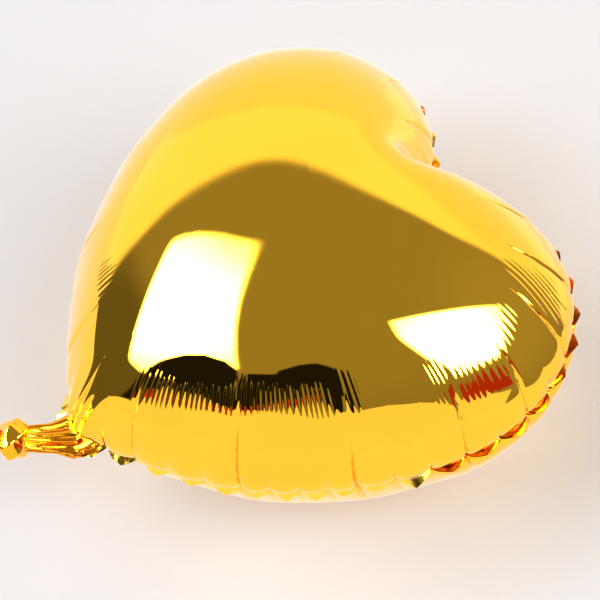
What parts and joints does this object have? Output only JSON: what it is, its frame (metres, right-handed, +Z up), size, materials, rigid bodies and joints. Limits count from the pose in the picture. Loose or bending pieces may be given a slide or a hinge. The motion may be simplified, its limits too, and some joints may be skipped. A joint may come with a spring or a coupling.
{
  "type": "foil balloon",
  "caption": "Inflated heart-shaped gold foil balloon with a welded edge, a gathered neck and a knotted tail that swings.",
  "frame": {"origin": "centre of the box at its base, on the surface the balloon lies on", "axes": "+Z up through the front panel, +Y from the heart's tip towards its two lobes, +X towards one lobe"},
  "size_m": [0.4058, 0.4506, 0.2201],
  "materials": {
    "front_foil": "mirror-bright gold metallised film",
    "back_foil": "mirror-bright gold metallised film",
    "tail_foil": "mirror-bright gold metallised film, gathered and creased",
    "valve_film": "clear soft film"
  },
  "bodies": {
    "heart": {"front_panel": "front_foil", "back_panel": "back_foil", "valve_front_film": "valve_film", "valve_back_film": "valve_film"},
    "neck": {"neck_front_film": "tail_foil", "neck_back_film": "tail_foil", "neck_valve_front_film": "valve_film", "neck_valve_back_film": "valve_film", "tail_knot": "tail_foil"},
    "tail_end": {"tail_end_front_film": "tail_foil", "tail_end_back_film": "tail_foil"}
  },
  "joints": [
    {"name": "neck_lift", "type": "hinge", "parent": "heart", "child": "neck", "pos_m": [0, -0.1409, 0.1098], "axis": [-0.9063, 0.4226, 0], "range_deg": [-60, 35], "stiffness_Nm_per_rad": 0.01},
    {"name": "tail_end_swing", "type": "hinge", "parent": "neck", "child": "tail_end", "pos_m": [-0.0207, -0.1852, 0.1275], "axis": [0.1445, 0.31, 0.9397], "range_deg": [-45, 45], "stiffness_Nm_per_rad": 0.0005}
  ]
}
